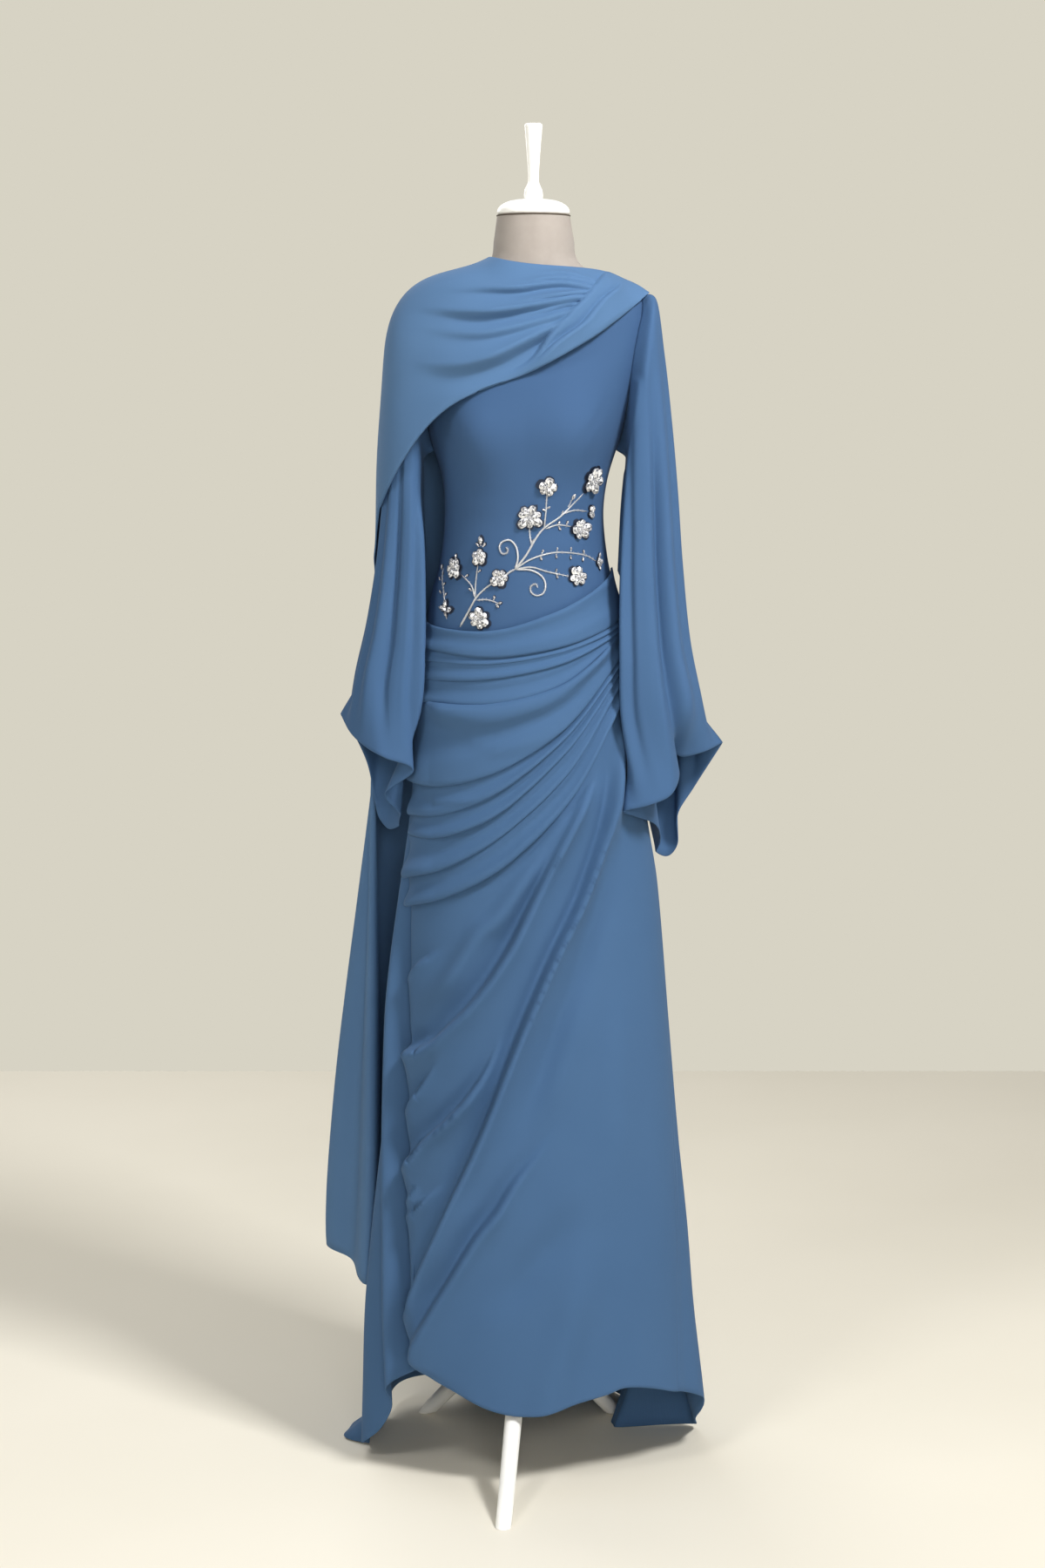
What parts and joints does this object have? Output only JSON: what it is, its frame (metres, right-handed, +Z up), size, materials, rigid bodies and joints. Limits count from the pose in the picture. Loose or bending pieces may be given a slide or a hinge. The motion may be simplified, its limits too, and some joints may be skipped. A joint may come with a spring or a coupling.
{
  "type": "prom dress on a dress form",
  "caption": "Floor-length long-sleeved evening dress with a draped hip, a shawl that hangs down behind and a stone flower spray, on a limbless dress form with a tripod stand.",
  "frame": {"origin": "on the floor, under the middle of the whole object's box", "axes": "+Z up; -Y the way the dress faces; +X towards the right of someone who looks at its front"},
  "size_m": [0.552, 0.5992, 1.8116],
  "materials": {
    "crepe": "matte",
    "form_cover": "matte",
    "white_paint": "satin",
    "stone_trim": "polished"
  },
  "bodies": {
    "root": {"bodice_front": "crepe", "bodice_back_left": "crepe", "bodice_back_right": "crepe", "sleeve_left": "crepe", "sleeve_right": "crepe", "skirt_front": "crepe", "skirt_back": "crepe", "waist_band": "crepe", "hip_drape": "crepe", "shawl": "crepe", "form_torso": "form_cover", "neck_cap": "white_paint", "neck_handle": "white_paint", "stand_pole": "white_paint", "stand_hub": "white_paint", "stand_leg_front": "white_paint", "stand_leg_left": "white_paint", "stand_leg_right": "white_paint", "flower_1": "stone_trim", "flower_2": "stone_trim", "flower_3": "stone_trim", "flower_4": "stone_trim", "flower_5": "stone_trim", "flower_6": "stone_trim", "flower_7": "stone_trim", "flower_8": "stone_trim", "flower_9": "stone_trim", "flower_10": "stone_trim", "flower_11": "stone_trim", "flower_12": "stone_trim", "spray_upper": "stone_trim", "spray_lower": "stone_trim"}
  },
  "joints": []
}
